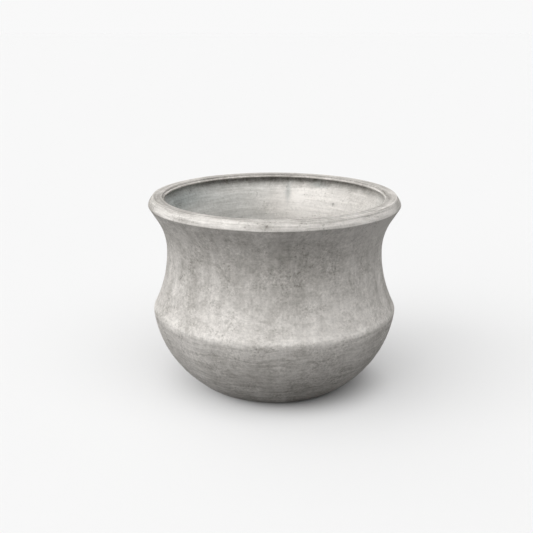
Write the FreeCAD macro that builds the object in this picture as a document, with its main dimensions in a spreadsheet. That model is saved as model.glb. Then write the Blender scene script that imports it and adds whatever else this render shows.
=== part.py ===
"""Cast concrete floor planter with a drain that can be stopped.

The pot is one thick casting: a flat-topped rim, a drawn-in neck, a soft shoulder and a
round bowl on a flat base. A flanged sleeve lines the drain hole in its floor and carries
a strainer, a rubber plug closes the sleeve from inside, and four rubber pads keep the
base off the ground.

Millimetres, +Z up, origin on the ground under the middle of the pot.
"""
import FreeCAD, Part
import math
import os

import Sketcher

# Driving sizes: name, millimetres, what it measures
SIZES = (
    ("overall_height", "386", "ground to the top of the rim"),
    ("rim_diameter", "500", "widest part of the rim"),
    ("rim_band", "17", "top of the rim down to its lower edge"),
    ("rim_edge_radius", "2", "rounding of the lower edge of the rim"),
    ("nose_radius", "13", "rounding of the upper edge of the rim"),
    ("nose_step", "1", "top ring above the end of the rounding"),
    ("ring_inset", "9", "top ring inside the widest part of the rim"),
    ("lip_width", "33.5", "widest part of the rim to the mouth"),
    ("bead_width", "5", "bead along the mouth"),
    ("bead_drop", "3", "top ring above the bead"),
    ("bead_thickness", "5", "bead, top to underside"),
    ("undercut_radius", "3", "rounding where the lip meets the wall inside"),
    ("neck_depth", "34", "waist of the neck inside the widest part of the rim"),
    ("neck_radius", "119", "curve of the neck above the waist"),
    ("waist_drop", "105.5", "top of the rim down to the waist"),
    ("shoulder_inset", "3.7", "shoulder inside the widest part of the rim"),
    ("shoulder_height", "158", "ground to the shoulder"),
    ("shoulder_radius", "20", "rounding of the shoulder"),
    ("bowl_radius", "207", "curve of the bowl below the shoulder"),
    ("base_diameter", "300", "flat base"),
    ("base_edge_radius", "6", "rounding of the edge of the base"),
    ("wall", "25", "thickness of the wall"),
    ("inner_shoulder_radius", "30", "rounding inside the shoulder"),
    ("floor_thickness", "24", "thickness of the floor"),
    ("floor_edge_radius", "25", "rounding inside, where floor meets bowl"),
    ("pad_height", "3", "foot pad, ground to base"),
    ("pad_diameter", "42", "foot pad"),
    ("pad_edge_radius", "1", "rounding of a foot pad's lower edge"),
    ("pad_circle", "230", "circle through the middles of the foot pads"),
    ("drain_bore", "32", "clear bore of the sleeve"),
    ("sleeve_wall", "2.5", "wall of the sleeve"),
    ("sleeve_flange", "3", "thickness of the sleeve's flange"),
    ("sleeve_flange_diameter", "64", "sleeve's flange"),
    ("sleeve_lead", "1", "chamfer at the mouth of the sleeve"),
    ("sleeve_recess", "2", "lower end of the sleeve above the base"),
    ("grout_gap", "0.2", "sleeve to concrete, filled with grout"),
    ("drip_flare", "3", "flare of the drain hole at the base"),
    ("ledge_width", "3", "ledge that carries the strainer"),
    ("ledge_thickness", "2", "thickness of that ledge"),
    ("strainer_thickness", "1.2", "strainer disc"),
    ("strainer_gap", "0.2", "strainer to sleeve, all round"),
    ("strainer_hole", "3", "one hole of the strainer"),
    ("strainer_inner_circle", "10", "inner ring of holes"),
    ("strainer_outer_circle", "19", "outer ring of holes"),
    ("plug_gap", "0.08", "plug's ribs to the bore"),
    ("plug_reach", "13", "plug below its flange"),
    ("plug_relief", "1.6", "ribs out from the plug's body"),
    ("plug_taper", "1", "narrowing of the plug's end"),
    ("plug_flange", "4", "thickness of the plug's flange"),
    ("plug_flange_diameter", "46", "plug's flange"),
    ("plug_flange_round", "1.5", "rounding of the plug's flange"),
    ("stem_diameter", "12", "stem under the plug's knob"),
    ("stem_height", "8", "flange to the underside of the knob"),
    ("knob_diameter", "24", "plug's knob"),
    ("knob_thickness", "10", "plug's knob"),
)
PAD_COUNT = 4
RIB_COUNT = 2
INNER_HOLES = 6
OUTER_HOLES = 12

# How a sketch counts the points of a line or arc, and its own origin and upright axis
START, END, CENTRE = range(1, 4)
ORIGIN, AXIS_HEIGHT = range(-1, -3, -1)

# Millimetres within which two edges are taken for one
SAME_PLACE = 0.01


class Length:
    """A length together with the sheet formula that gives it."""

    def __init__(self, value, formula):
        self.value = value
        self.formula = formula

    def __add__(self, other):
        return Length(self.value + other.value, f"({self.formula} + {other.formula})")

    def __sub__(self, other):
        return Length(self.value - other.value, f"({self.formula} - {other.formula})")

    def __mul__(self, number):
        return Length(self.value * number, f"({self.formula} * {number})")

    def __truediv__(self, number):
        return Length(self.value / number, f"({self.formula} / {number})")


class Sizes:
    """The driving sizes, read from the sheet by name."""

    def __init__(self, document):
        sheet = document.addObject("Spreadsheet::Sheet", "Sizes")
        for row, (name, number, meaning) in enumerate(SIZES, start=1):
            sheet.set(f"A{row}", name)
            sheet.set(f"B{row}", number)
            sheet.set(f"C{row}", meaning)
            sheet.setAlias(f"B{row}", name)
        document.recompute()
        for name, _, _ in SIZES:
            setattr(self, name, Length(float(sheet.get(name)), f"Sizes.{name}"))


class Section:
    """A closed outline in a body's XZ plane: radius from the axis across, height up."""

    def __init__(self, body, name):
        self.sketch = body.newObject("Sketcher::SketchObject", name)
        self.sketch.AttachmentSupport = (origin_plane(body, "XZ_Plane"), [""])
        self.sketch.MapMode = "FlatFace"

    def line(self, start, end):
        """Add a line between two (radius, height) pairs of numbers."""
        return self.sketch.addGeometry(
            Part.LineSegment(FreeCAD.Vector(*start), FreeCAD.Vector(*end)))

    def arc(self, centre, start, end):
        """Add the arc that runs anticlockwise from start to end."""
        middle = FreeCAD.Vector(*centre)
        radius = math.dist(centre, start)
        first = math.atan2(start[1] - centre[1], start[0] - centre[0])
        last = math.atan2(end[1] - centre[1], end[0] - centre[0])
        if last <= first:
            last += 2 * math.pi
        circle = Part.Circle(middle, FreeCAD.Vector(0, 0, 1), radius)
        return self.sketch.addGeometry(Part.ArcOfCircle(circle, first, last))

    def rule(self, *parts):
        return self.sketch.addConstraint(Sketcher.Constraint(*parts))

    def join(self, first, first_end, second, second_end):
        self.rule("Coincident", first, first_end, second, second_end)

    def level(self, first, first_end, second, second_end):
        """Keep two points at one height."""
        self.rule("Horizontal", first, first_end, second, second_end)

    def sized(self, kind, length, *where):
        """Add a driving constraint that follows the sheet."""
        index = self.rule(kind, *where, length.value)
        self.sketch.setExpression(f"Constraints[{index}]", length.formula)

    def across(self, geometry, end, radius):
        self.sized("DistanceX", radius, ORIGIN, START, geometry, end)

    def up(self, geometry, end, height):
        self.sized("DistanceY", height, ORIGIN, START, geometry, end)

    def pin(self, geometry, end, radius, height):
        self.across(geometry, end, radius)
        self.up(geometry, end, height)

    def on_axis(self, geometry, end):
        self.rule("PointOnObject", geometry, end, AXIS_HEIGHT)

    def point(self, geometry, end):
        """Where a corner lies once the outline is solved, as (radius, height)."""
        place = self.sketch.getPoint(geometry, end)
        return place.x, place.y

    def polygon(self, corners):
        """Add straight sides through (radius, height) corners; a radius of None is the axis."""
        numbers = [(0.0 if across is None else across.value, up.value) for across, up in corners]
        sides = [self.line(numbers[i - 1], numbers[i]) for i in range(len(numbers))]
        for i, (across, up) in enumerate(corners):
            self.join(sides[i], END, sides[(i + 1) % len(sides)], START)
            self.up(sides[i], END, up)
            if across is None:
                self.on_axis(sides[i], END)
            else:
                self.across(sides[i], END, across)


def origin_plane(body, role):
    return next(plane for plane in body.Origin.OriginFeatures if plane.Role == role)


def new_body(document, name):
    body = document.addObject("PartDesign::Body", name)
    body.Label = name
    return body


def turn(body, name, section, kind="PartDesign::Revolution"):
    """Turn a section once round the axis, as a solid or as a cut."""
    feature = body.newObject(kind, name)
    feature.Profile = section.sketch
    feature.ReferenceAxis = (section.sketch, ["V_Axis"])
    feature.Angle = 360
    section.sketch.Visibility = False
    body.Document.recompute()
    return feature


def ring_edge(shape, radius, height):
    """Name of the round edge at this radius and height."""
    for number, edge in enumerate(shape.Edges, start=1):
        if not isinstance(edge.Curve, Part.Circle):
            continue
        place = (edge.Curve.Radius, edge.Curve.Center.z)
        if math.dist(place, (radius, height)) < SAME_PLACE:
            return f"Edge{number}"
    raise RuntimeError(f"no round edge at radius {radius:.2f}, height {height:.2f}")


def round_edge(body, name, corner, radius):
    """Round the edge that a section's corner draws."""
    base = body.Tip
    fillet = body.newObject("PartDesign::Fillet", name)
    fillet.Base = (base, [ring_edge(base.Shape, *corner)])
    fillet.setExpression("Radius", radius.formula)
    body.Document.recompute()


def removed(feature, before):
    """Stop if a cut took nothing away."""
    if before - feature.Shape.Volume < 1.0:
        raise RuntimeError(f"{feature.Name} cuts nothing")


def outer_crossing(centre, radius, height):
    """Radius from the axis at which a circle crosses a height, on its outer side."""
    return centre[0] + math.sqrt(radius ** 2 - (height - centre[1]) ** 2)


def inner_crossing(centre, radius, height):
    """Radius from the axis at which a circle crosses a height, on its inner side."""
    return centre[0] - math.sqrt(radius ** 2 - (height - centre[1]) ** 2)


def arc_centre(start, end, radius):
    """Centre, on the left of start to end, of the arc of this radius through both."""
    return left_crossing(start, radius, end, radius)


def left_crossing(first, first_radius, second, second_radius):
    """The crossing of two circles that lies on the left of the way from first to second."""
    apart = math.dist(first, second)
    along = (first_radius ** 2 - second_radius ** 2 + apart ** 2) / (2 * apart)
    aside = math.sqrt(first_radius ** 2 - along ** 2)
    across, up = (second[0] - first[0]) / apart, (second[1] - first[1]) / apart
    return (first[0] + along * across - aside * up, first[1] + along * up + aside * across)


def touching_point(centre, radius, place):
    """Where a line from a place touches a circle, on the left of the way from its centre."""
    reach = math.sqrt(math.dist(centre, place) ** 2 - radius ** 2)
    return left_crossing(centre, radius, place, reach)


def flare_centre(waist, edge):
    """Centre of the arc that leaves the waist straight down and reaches an edge."""
    across, up = edge[0] - waist[0], edge[1] - waist[1]
    return (waist[0] + (across ** 2 + up ** 2) / (2 * across), waist[1])


def pot_shell(document, mm):
    """The casting, with its wall drawn as a section and turned, and its drain hole."""
    body = new_body(document, "pot_shell")
    section = Section(body, "pot_section")

    top = mm.overall_height
    rim = mm.rim_diameter / 2
    base = mm.base_diameter / 2
    floor = mm.pad_height + mm.floor_thickness
    waist_height = top - mm.waist_drop
    waist = rim - mm.neck_depth
    shoulder = rim - mm.shoulder_inset
    rim_edge_height = top - mm.rim_band
    nose_height = top - mm.nose_step
    ring_outside = rim - mm.ring_inset
    nose = rim - mm.nose_radius
    mouth = rim - mm.lip_width
    ring_inside = mouth + mm.bead_width
    bead_top = top - mm.bead_drop
    bead_radius = mm.bead_thickness / 2
    lip_under = bead_top - mm.bead_thickness

    # Corners as numbers, to start the outline close to its solution
    thick = mm.wall.value
    at_base = (base.value, mm.pad_height.value)
    at_shoulder = (shoulder.value, mm.shoulder_height.value)
    at_waist = (waist.value, waist_height.value)
    at_rim_edge = (rim.value, rim_edge_height.value)
    at_inner_waist = (waist.value - thick, waist_height.value)
    bowl_middle = arc_centre(at_base, at_shoulder, mm.bowl_radius.value)
    low_middle = flare_centre(at_waist, at_shoulder)
    curve = mm.neck_radius.value
    high_middle = (at_waist[0] + curve, at_waist[1])
    at_flare = touching_point(high_middle, curve, at_rim_edge)
    under = lip_under.value
    at_under = (inner_crossing(high_middle, curve + thick, under), under)
    at_inner_shoulder = (at_shoulder[0] - thick, at_shoulder[1])
    at_floor = (outer_crossing(bowl_middle, mm.bowl_radius.value - thick, floor.value), floor.value)
    nose_top = (ring_outside.value, nose_height.value)
    nose_rise = math.sqrt(mm.nose_radius.value ** 2 - (nose_top[0] - nose.value) ** 2)
    nose_middle = (nose.value, nose_top[1] - nose_rise)
    nose_low = (rim.value, nose_middle[1])
    bead_middle = (mouth.value + bead_radius.value, bead_top.value - bead_radius.value)

    # Outside, from the axis under the base up to the rim
    underside = section.line((0, at_base[1]), at_base)
    bowl = section.arc(bowl_middle, at_base, at_shoulder)
    low_neck = section.arc(low_middle, at_waist, at_shoulder)
    high_neck = section.arc(high_middle, at_flare, at_waist)
    flare = section.line(at_flare, at_rim_edge)
    band = section.line(at_rim_edge, nose_low)
    rim_nose = section.arc(nose_middle, nose_low, nose_top)
    outer_step = section.line(nose_top, (ring_outside.value, top.value))
    ring = section.line((ring_outside.value, top.value), (ring_inside.value, top.value))
    inner_step = section.line((ring_inside.value, top.value), (ring_inside.value, bead_top.value))
    bead_face = section.line((ring_inside.value, bead_top.value), (bead_middle[0], bead_top.value))
    bead = section.arc(bead_middle, (bead_middle[0], bead_top.value), (bead_middle[0], under))
    lip = section.line((bead_middle[0], under), at_under)

    # Inside, from the lip down to the floor
    inner_high_neck = section.arc(high_middle, at_under, at_inner_waist)
    inner_low_neck = section.arc(low_middle, at_inner_waist, at_inner_shoulder)
    inner_bowl = section.arc(bowl_middle, at_floor, at_inner_shoulder)
    inner_floor = section.line(at_floor, (0, floor.value))
    axis = section.line((0, floor.value), (0, at_base[1]))

    chain = (
        (underside, END, bowl, START), (bowl, END, low_neck, END), (low_neck, START, high_neck, END),
        (flare, END, band, START), (band, END, rim_nose, START), (rim_nose, END, outer_step, START),
        (outer_step, END, ring, START), (ring, END, inner_step, START),
        (inner_step, END, bead_face, START), (bead_face, END, bead, START), (bead, END, lip, START),
        (lip, END, inner_high_neck, START), (inner_high_neck, END, inner_low_neck, START),
        (inner_low_neck, END, inner_bowl, END), (inner_bowl, START, inner_floor, START),
        (inner_floor, END, axis, START), (axis, END, underside, START),
    )
    for corner in chain:
        section.join(*corner)
    section.rule("Tangent", high_neck, START, flare, START)

    section.on_axis(underside, START)
    section.up(underside, START, mm.pad_height)
    section.pin(underside, END, base, mm.pad_height)
    section.pin(bowl, END, shoulder, mm.shoulder_height)
    section.sized("Radius", mm.bowl_radius, bowl)
    section.pin(low_neck, START, waist, waist_height)
    section.pin(band, START, rim, rim_edge_height)
    section.level(low_neck, CENTRE, low_neck, START)
    section.level(high_neck, CENTRE, high_neck, END)
    section.sized("Radius", mm.neck_radius, high_neck)
    section.across(rim_nose, START, rim)
    section.across(rim_nose, CENTRE, nose)
    section.level(rim_nose, CENTRE, rim_nose, START)
    section.pin(rim_nose, END, ring_outside, nose_height)
    section.pin(ring, START, ring_outside, top)
    section.pin(ring, END, ring_inside, top)
    section.pin(bead_face, START, ring_inside, bead_top)
    section.pin(bead, CENTRE, mouth + bead_radius, bead_top - bead_radius)
    section.pin(bead, START, mouth + bead_radius, bead_top)
    section.across(bead, END, mouth + bead_radius)
    section.up(lip, END, lip_under)
    section.join(inner_high_neck, CENTRE, high_neck, CENTRE)
    section.join(inner_low_neck, CENTRE, low_neck, CENTRE)
    section.join(inner_bowl, CENTRE, bowl, CENTRE)
    section.pin(inner_high_neck, END, waist - mm.wall, waist_height)
    section.sized("Radius", mm.bowl_radius - mm.wall, inner_bowl)
    section.up(inner_floor, START, floor)
    section.on_axis(inner_floor, END)
    section.up(inner_floor, END, floor)
    document.recompute()
    turn(body, "casting", section)

    # Drain hole: flared at the base, stepped for the sleeve's flange at the floor
    hole = mm.drain_bore / 2 + mm.sleeve_wall + mm.grout_gap
    seat = mm.sleeve_flange_diameter / 2 + mm.grout_gap
    drain = Section(body, "drain_section")
    drain.polygon((
        (None, mm.pad_height),
        (hole + mm.drip_flare, mm.pad_height),
        (hole, mm.pad_height + mm.drip_flare),
        (hole, floor - mm.sleeve_flange),
        (seat, floor - mm.sleeve_flange),
        (seat, floor),
        (None, floor),
    ))
    document.recompute()
    before = body.Tip.Shape.Volume
    removed(turn(body, "drain_hole", drain, "PartDesign::Groove"), before)

    round_edge(body, "rim_edge", section.point(band, START), mm.rim_edge_radius)
    round_edge(body, "shoulder", section.point(bowl, END), mm.shoulder_radius)
    round_edge(body, "base_edge", section.point(underside, END), mm.base_edge_radius)
    round_edge(body, "undercut", section.point(lip, END), mm.undercut_radius)
    round_edge(body, "inner_shoulder", section.point(inner_bowl, END), mm.inner_shoulder_radius)
    round_edge(body, "floor_edge", section.point(inner_bowl, START), mm.floor_edge_radius)
    return body


def drain_sleeve(document, mm):
    """Flanged sleeve in the drain hole, with an inner ledge for the strainer."""
    body = new_body(document, "drain_sleeve")
    bore = mm.drain_bore / 2
    floor = mm.pad_height + mm.floor_thickness
    foot = mm.pad_height + mm.sleeve_recess
    section = Section(body, "sleeve_section")
    section.polygon((
        (bore + mm.sleeve_lead, floor),
        (mm.sleeve_flange_diameter / 2, floor),
        (mm.sleeve_flange_diameter / 2, floor - mm.sleeve_flange),
        (bore + mm.sleeve_wall, floor - mm.sleeve_flange),
        (bore + mm.sleeve_wall, foot),
        (bore - mm.ledge_width, foot),
        (bore - mm.ledge_width, foot + mm.ledge_thickness),
        (bore, foot + mm.ledge_thickness),
        (bore, floor - mm.sleeve_lead),
    ))
    document.recompute()
    turn(body, "sleeve", section)
    return body


def drain_strainer(document, mm):
    """Perforated disc on the sleeve's ledge."""
    body = new_body(document, "drain_strainer")
    body.setExpression(
        ".Placement.Base.z", (mm.pad_height + mm.sleeve_recess + mm.ledge_thickness).formula)
    disc = disc_sketch(body, "disc_outline", mm.drain_bore / 2 - mm.strainer_gap)
    pad = body.newObject("PartDesign::Pad", "disc")
    pad.Profile = disc
    pad.setExpression("Length", mm.strainer_thickness.formula)
    document.recompute()

    rings = ((mm.strainer_inner_circle, INNER_HOLES), (mm.strainer_outer_circle, OUTER_HOLES))
    for number, (circle, count) in enumerate(rings, start=1):
        outline = disc_sketch(body, f"hole_outline_{number}", mm.strainer_hole / 2, circle / 2)
        before = body.Tip.Shape.Volume
        hole = body.newObject("PartDesign::Pocket", f"hole_{number}")
        hole.Profile = outline
        hole.Type = "ThroughAll"
        hole.Reversed = True
        document.recompute()
        removed(hole, before)
        pattern = body.newObject("PartDesign::PolarPattern", f"hole_ring_{number}")
        pattern.Originals = [hole]
        pattern.Axis = (outline, ["N_Axis"])
        pattern.Angle = 360
        pattern.Occurrences = count
        body.Tip = pattern
        document.recompute()
    return body


def disc_sketch(body, name, radius, offset=None):
    """A circle in a body's XY plane, about its origin or offset along X."""
    sketch = body.newObject("Sketcher::SketchObject", name)
    sketch.AttachmentSupport = (origin_plane(body, "XY_Plane"), [""])
    sketch.MapMode = "FlatFace"
    middle = FreeCAD.Vector(0 if offset is None else offset.value, 0, 0)
    circle = sketch.addGeometry(Part.Circle(middle, FreeCAD.Vector(0, 0, 1), radius.value))
    size = sketch.addConstraint(Sketcher.Constraint("Radius", circle, radius.value))
    sketch.setExpression(f"Constraints[{size}]", radius.formula)
    if offset is None:
        sketch.addConstraint(Sketcher.Constraint("Coincident", circle, CENTRE, ORIGIN, START))
    else:
        sketch.addConstraint(Sketcher.Constraint("PointOnObject", circle, CENTRE, ORIGIN))
        place = sketch.addConstraint(
            Sketcher.Constraint("DistanceX", ORIGIN, START, circle, CENTRE, offset.value))
        sketch.setExpression(f"Constraints[{place}]", offset.formula)
    return sketch


def drain_plug(document, mm):
    """Rubber stopper: a ribbed body in the bore, a flange on the sleeve and a knob."""
    body = new_body(document, "drain_plug")
    seat = mm.pad_height + mm.floor_thickness
    rib = mm.drain_bore / 2 - mm.plug_gap
    shaft = rib - mm.plug_relief
    flange = mm.plug_flange_diameter / 2
    flange_top = seat + mm.plug_flange
    knob_under = flange_top + mm.stem_height
    section = Section(body, "plug_section")
    section.polygon((
        (None, seat - mm.plug_reach),
        (shaft - mm.plug_taper, seat - mm.plug_reach),
        (shaft, seat - mm.plug_reach + mm.plug_taper),
        (shaft, seat),
        (flange, seat),
        (flange, flange_top),
        (mm.stem_diameter / 2, flange_top),
        (mm.stem_diameter / 2, knob_under),
        (mm.knob_diameter / 2, knob_under),
        (mm.knob_diameter / 2, knob_under + mm.knob_thickness),
        (None, knob_under + mm.knob_thickness),
    ))
    document.recompute()
    turn(body, "stopper", section)

    # Half-round sealing ribs, evenly spaced down the body
    for number in range(1, RIB_COUNT + 1):
        height = seat - mm.plug_reach * (number / (RIB_COUNT + 1))
        ring = Section(body, f"rib_section_{number}")
        low = (shaft.value, height.value - mm.plug_relief.value)
        high = (shaft.value, height.value + mm.plug_relief.value)
        back = (shaft.value - mm.plug_relief.value, high[1]), (shaft.value - mm.plug_relief.value, low[1])
        round_face = ring.arc((shaft.value, height.value), low, high)
        sides = [ring.line(high, back[0]), ring.line(back[0], back[1]), ring.line(back[1], low)]
        ring.join(round_face, END, sides[0], START)
        ring.join(sides[0], END, sides[1], START)
        ring.join(sides[1], END, sides[2], START)
        ring.join(sides[2], END, round_face, START)
        ring.pin(round_face, CENTRE, shaft, height)
        ring.sized("Radius", mm.plug_relief, round_face)
        ring.across(round_face, START, shaft)
        ring.across(round_face, END, shaft)
        ring.pin(sides[0], END, shaft - mm.plug_relief, height + mm.plug_relief)
        ring.pin(sides[1], END, shaft - mm.plug_relief, height - mm.plug_relief)
        document.recompute()
        turn(body, f"rib_{number}", ring)

    round_edge(body, "flange_edge", (flange.value, flange_top.value), mm.plug_flange_round)
    knob = mm.knob_diameter.value / 2
    knob_top = knob_under + mm.knob_thickness
    round_edge(body, "knob_top", (knob, knob_top.value), mm.knob_thickness * 0.45)
    round_edge(body, "knob_under", (knob, knob_under.value), mm.knob_thickness * 0.45)
    return body


def foot_pad(document, mm, number):
    """One of the pads under the base."""
    body = new_body(document, f"foot_pad_{number}")
    angle = 360 * (number - 0.5) / PAD_COUNT
    spread = (mm.pad_circle / 2).formula
    body.setExpression(".Placement.Base.x", f"{spread} * cos({angle} deg)")
    body.setExpression(".Placement.Base.y", f"{spread} * sin({angle} deg)")
    pad = body.newObject("PartDesign::Pad", f"pad_{number}")
    pad.Profile = disc_sketch(body, f"pad_outline_{number}", mm.pad_diameter / 2)
    pad.setExpression("Length", mm.pad_height.formula)
    document.recompute()
    round_edge(body, f"pad_edge_{number}", (mm.pad_diameter.value / 2, 0.0), mm.pad_edge_radius)
    return body


def check(document, bodies):
    """Stop if anything in the document failed or a piece is not one sound solid."""
    document.recompute()
    for item in document.Objects:
        if "Invalid" in item.State or "Error" in item.State:
            raise RuntimeError(f"{item.Name} failed: {item.State}")
        if item.isDerivedFrom("Sketcher::SketchObject") and not item.FullyConstrained:
            raise RuntimeError(f"{item.Name} is not fully constrained")
    for body in bodies:
        shape = body.Shape
        if shape.isNull() or not shape.isValid() or len(shape.Solids) != 1:
            raise RuntimeError(f"{body.Label} is not one sound solid")


def main():
    document = FreeCAD.newDocument("planter")
    mm = Sizes(document)
    bodies = [
        pot_shell(document, mm),
        drain_sleeve(document, mm),
        drain_strainer(document, mm),
        drain_plug(document, mm),
    ]
    bodies += [foot_pad(document, mm, number) for number in range(1, PAD_COUNT + 1)]
    check(document, bodies)
    os.makedirs("parts", exist_ok=True)
    for body in bodies:
        body.Shape.exportStep(f"parts/{body.Label}.step")
        print(f"{body.Label}: {body.Shape.Volume / 1000:.2f} cm3")


main()
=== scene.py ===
"""Concrete planter, dressed for rendering.

Loads the planter's frame, models the casting over it as a pot that was poured, brushed by
hand and left outdoors, gives the drain fittings and the foot pads their finishes, and sets
a plain studio round it. Metres, +Z up, origin on the ground under the middle of the pot.
"""
import math
import random

import bpy
import numpy as np
from bpy.props import FloatProperty, FloatVectorProperty, IntProperty, PointerProperty
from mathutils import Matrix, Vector
from mathutils.geometry import intersect_sphere_sphere_2d
from mathutils.kdtree import KDTree


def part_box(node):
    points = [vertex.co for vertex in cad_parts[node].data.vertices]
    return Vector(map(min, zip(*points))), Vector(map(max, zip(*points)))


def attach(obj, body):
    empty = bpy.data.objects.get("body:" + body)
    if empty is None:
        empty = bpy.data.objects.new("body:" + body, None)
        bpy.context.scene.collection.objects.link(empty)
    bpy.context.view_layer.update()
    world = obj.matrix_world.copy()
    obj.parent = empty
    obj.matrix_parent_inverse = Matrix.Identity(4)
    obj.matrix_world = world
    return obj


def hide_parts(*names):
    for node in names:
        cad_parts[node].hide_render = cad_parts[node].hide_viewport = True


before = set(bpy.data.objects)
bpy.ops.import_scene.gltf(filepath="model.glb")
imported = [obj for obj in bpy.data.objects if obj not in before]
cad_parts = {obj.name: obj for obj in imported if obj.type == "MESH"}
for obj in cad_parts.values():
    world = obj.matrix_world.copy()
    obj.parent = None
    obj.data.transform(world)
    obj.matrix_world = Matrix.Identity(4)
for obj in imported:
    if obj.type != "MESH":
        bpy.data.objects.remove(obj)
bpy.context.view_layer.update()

bl_info = {
    "name": "Concrete planter",
    "version": (1, 0, 0),
    "blender": (4, 5, 0),
    "location": "View3D > Sidebar > Planter",
    "description": "Models the planter's casting over its frame and gives each piece its finish",
    "category": "Object",
}

POT_LOW, POT_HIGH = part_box("pot_shell")


def srgb(code):
    """Linear colour of an sRGB hex value."""
    shares = [int(code[i:i + 2], 16) / 255 for i in (1, 3, 5)]
    return [s / 12.92 if s <= 0.04045 else ((s + 0.055) / 1.055) ** 2.4 for s in shares]


def length(label, meaning, metres):
    """A length that the sidebar shows."""
    return FloatProperty(name=label, description=meaning, default=metres, min=0.0,
                         unit="LENGTH", precision=4)


def colour(label, meaning, code):
    """A colour that the sidebar shows."""
    return FloatVectorProperty(name=label, description=meaning, default=srgb(code), min=0.0,
                               max=1.0, size=3, subtype="COLOR")


class CastingSizes(bpy.types.PropertyGroup):
    """Section of the casting and how evenly it was finished."""
    rim_radius: length("Rim", "Axis to the widest part of the rim", POT_HIGH[0])
    height: length("Height", "Ground to the top of the rim", POT_HIGH[2])
    underside: length("Underside", "Ground to the underside of the base", POT_LOW[2])
    rim_band: length("Rim band", "Top of the rim down to its lower edge", 0.017)
    rim_edge_round: length("Rim edge", "Rounding of the rim's lower edge", 0.002)
    face_radius: length("Rim face", "Curve of the rim's outer face", 0.025)
    face_step: length("Face step", "Top ring above the outer face", 0.001)
    ring_inset: length("Top ring", "Top ring inside the widest part of the rim", 0.009)
    lip_width: length("Lip", "Widest part of the rim to the mouth", 0.0335)
    bead_width: length("Bead", "Bead along the mouth", 0.005)
    bead_drop: length("Bead drop", "Top ring above the bead", 0.003)
    undercut_round: length("Undercut", "Rounding under the lip", 0.003)
    neck_depth: length("Neck depth", "Waist inside the widest part of the rim", 0.034)
    neck_radius: length("Neck curve", "Curve of the neck above the waist", 0.119)
    waist_drop: length("Waist", "Top of the rim down to the waist", 0.1055)
    shoulder_inset: length("Shoulder inset", "Shoulder inside the rim", 0.0037)
    shoulder_height: length("Shoulder", "Ground to the shoulder", 0.158)
    shoulder_round: length("Shoulder round", "Rounding of the shoulder", 0.020)
    bowl_radius: length("Bowl curve", "Curve of the bowl below the shoulder", 0.207)
    base_radius: length("Base", "Axis to the edge of the flat base", 0.150)
    base_round: length("Base edge", "Rounding of the edge of the base", 0.006)
    wall: length("Wall", "Thickness of the wall", 0.025)
    inner_round: length("Inner shoulder", "Rounding inside the shoulder", 0.030)
    floor_thickness: length("Floor", "Thickness of the floor", 0.024)
    floor_round: length("Floor edge", "Rounding where the floor meets the bowl", 0.025)
    seat_radius: length("Flange seat", "Axis to the edge of the flange seat", 0.0322)
    seat_depth: length("Seat depth", "Depth of the flange seat", 0.003)
    hole_radius: length("Drain hole", "Axis to the wall of the drain hole", 0.0187)
    drip_flare: length("Drip flare", "Flare of the drain hole at the base", 0.003)
    arris: length("Arris", "Softening of the steps on top of the rim", 0.0006)
    row: length("Row", "Distance between the rows of the mesh", 0.0041)
    sweep: length("Sweep", "Depth of the long waves left by hand brushing", 0.0008)
    sweep_length: length("Sweep length", "Length of the long waves", 0.090)
    drag: length("Drag", "Depth of the short waves left by hand brushing", 0.0004)
    drag_length: length("Drag length", "Length of the short waves", 0.022)
    pore_spacing: length("Pore spacing", "Least distance between two air holes", 0.015)
    segments: IntProperty(name="Segments", description="Steps of the mesh round the pot",
                          default=360, min=24)
    pores: IntProperty(name="Pores", description="Air holes left open in the surface",
                       default=150, min=0)


class FinishColours(bpy.types.PropertyGroup):
    """Colours of the finishes."""
    concrete_pale: colour("Pale concrete", "Dry, brushed concrete", "#efebe6")
    concrete_deep: colour("Deep concrete", "Damp or dusty concrete", "#827e77")
    # Inside, this cool tint is strongest where shade is painted
    concrete_cool: colour("Cool concrete", "Tint of the cement skin inside the pot", "#ecf7fc")
    # Grime also paints shade under the lip, under the rim, along the steps of the rim, on the side
    # turned from the lamps and in the pock
    grime_and_shade: colour("Grime", "Dirt under the lip and towards the base", "#5f5b55")
    sleeve: colour("Sleeve", "Moulded polypropylene", "#3a3b3c")
    sleeve_dust: colour("Sleeve dust", "Dusty patches of the sleeve", "#55565a")
    steel: colour("Strainer", "Punched stainless sheet", "#b9b8b4")
    steel_scratch: colour("Strainer scratches", "Deeper lines of the brushed sheet", "#9a9995")
    plug: colour("Plug", "Moulded rubber", "#232323")
    plug_bloom: colour("Plug bloom", "Grey bloom on the moulded rubber", "#3b3a39")
    pads: colour("Pads", "Sheet rubber", "#2a2928")
    pads_bloom: colour("Pad bloom", "Grey bloom on the sheet rubber", "#4a4846")
    paper: colour("Floor", "Studio floor as the camera sees it", "#e6e6e6")
    paper_bounce: colour("Floor bounce", "Studio floor as it lights the pot", "#6c6c6c")
    paper_glow: colour("Floor glow", "Paper lit from all round", "#f8f8f8")


# Distance between the mesh rows on the strokes that need finer or coarser ones than the rest
ROWS = {
    "underside": 0.03,
    "ridge": 0.002,
    "face": 0.0018,
    "bead": 0.001,
    "inner_lower_neck": 0.006,
    "inner_bowl": 0.007,
    "floor": 0.01,
    "seat": 0.01,
    "hole": 0.01,
}

# An arc gets at least this many rows
ARC_ROWS = 4

# Points nearer than this are one point
WELD = 1e-5


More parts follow.
